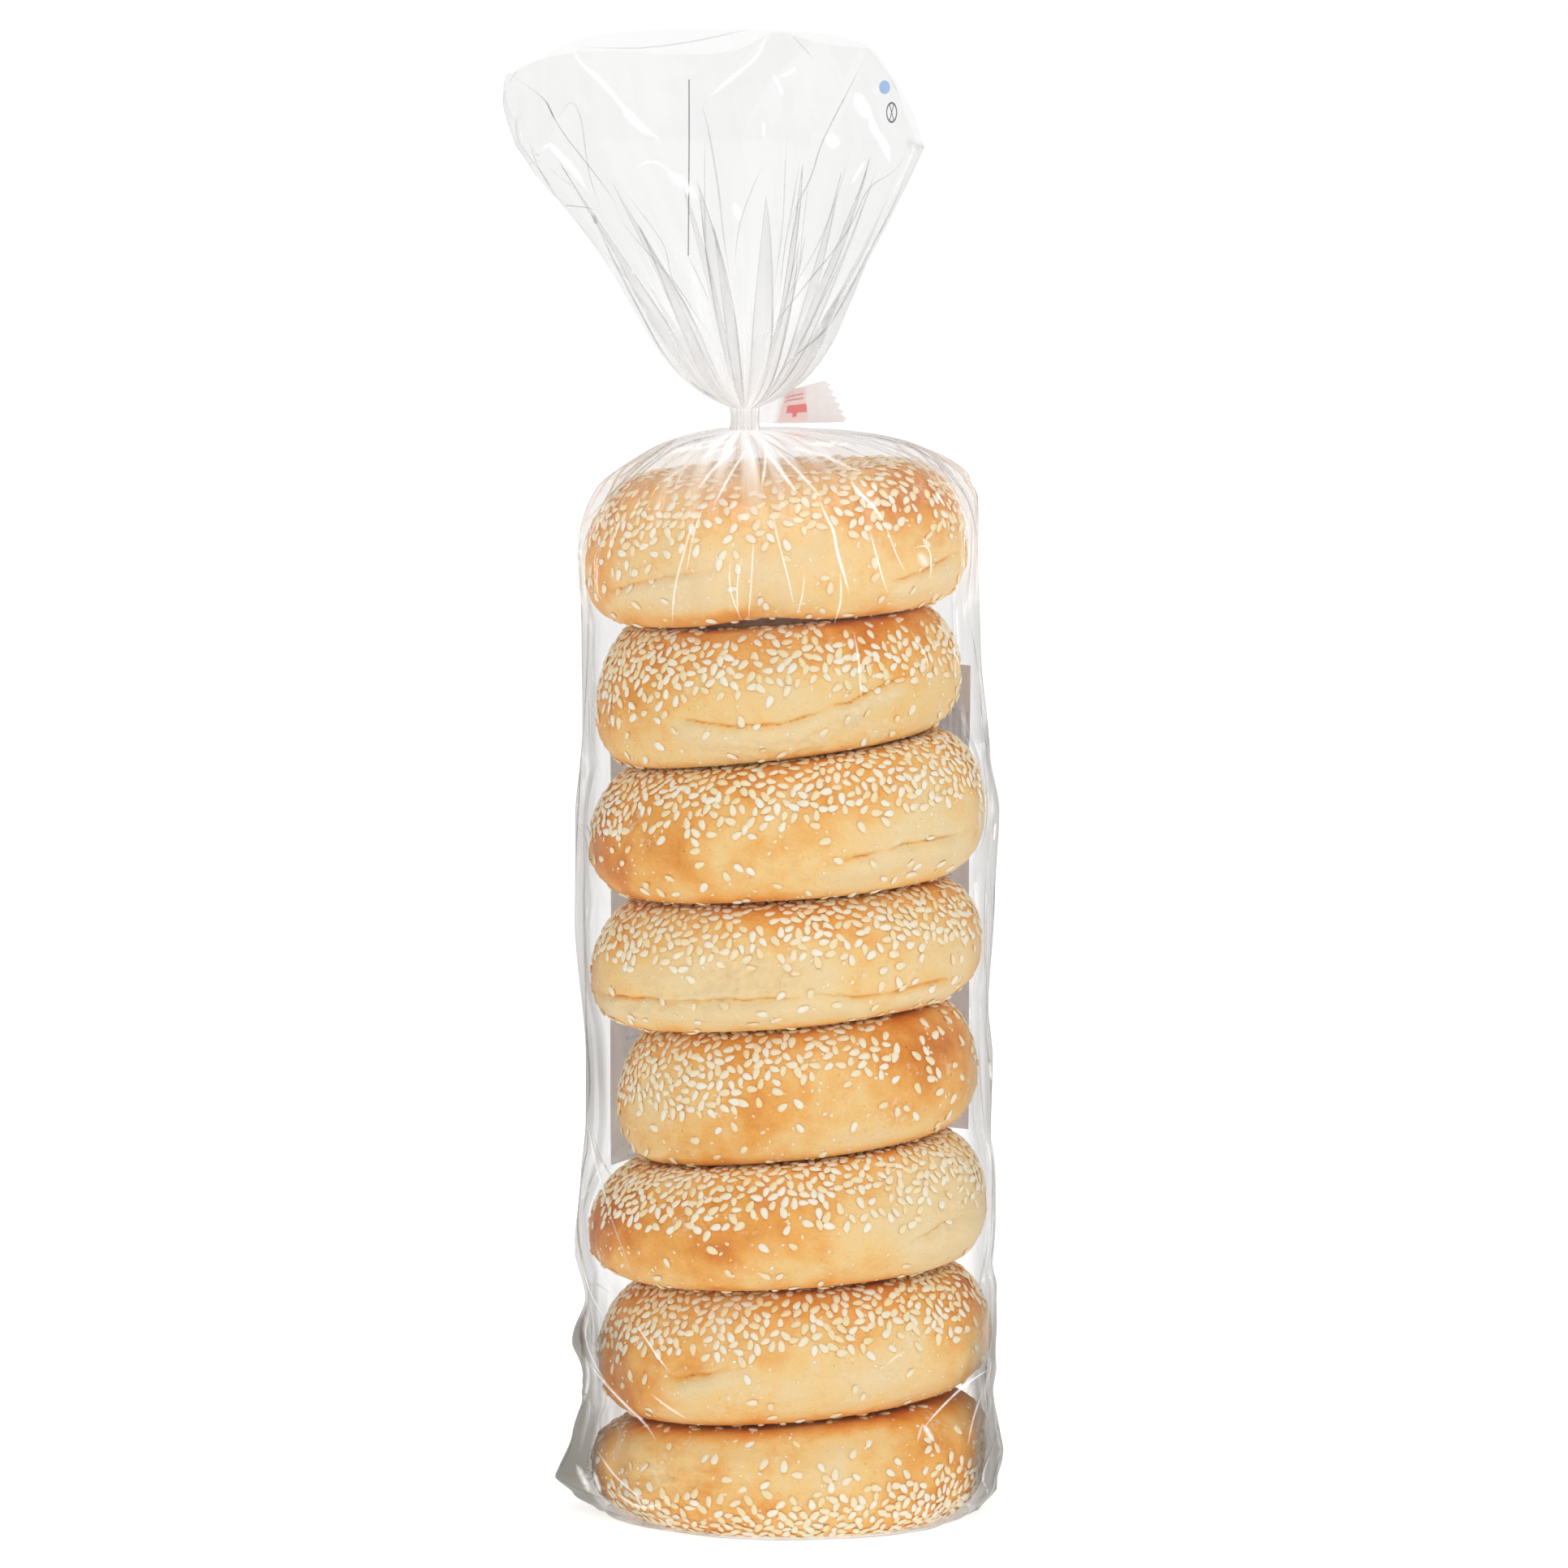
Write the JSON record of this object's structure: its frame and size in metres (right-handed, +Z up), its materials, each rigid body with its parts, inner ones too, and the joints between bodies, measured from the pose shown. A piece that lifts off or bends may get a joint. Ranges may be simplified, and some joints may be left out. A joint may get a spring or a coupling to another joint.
{
  "type": "bag of bagels",
  "caption": "Clear plastic bag of sesame bagels stacked in one upright column, with a gathered neck held by a strip of tape and a flared open mouth.",
  "frame": {"origin": "middle of the flat base that the bag stands on", "axes": "+Z up along the stack, +X to the right and -Y towards the viewer when the side with the tape's printed face is seen"},
  "size_m": [0.128, 0.1072, 0.3809],
  "materials": {
    "bagels_in_film": "gloss",
    "clear_film": "gloss",
    "bagel_crust": "satin",
    "sesame": "satin",
    "tape": "satin",
    "print": "matte"
  },
  "bodies": {
    "root": {"bag": "bagels_in_film", "closure_tape": "tape"}
  },
  "joints": []
}
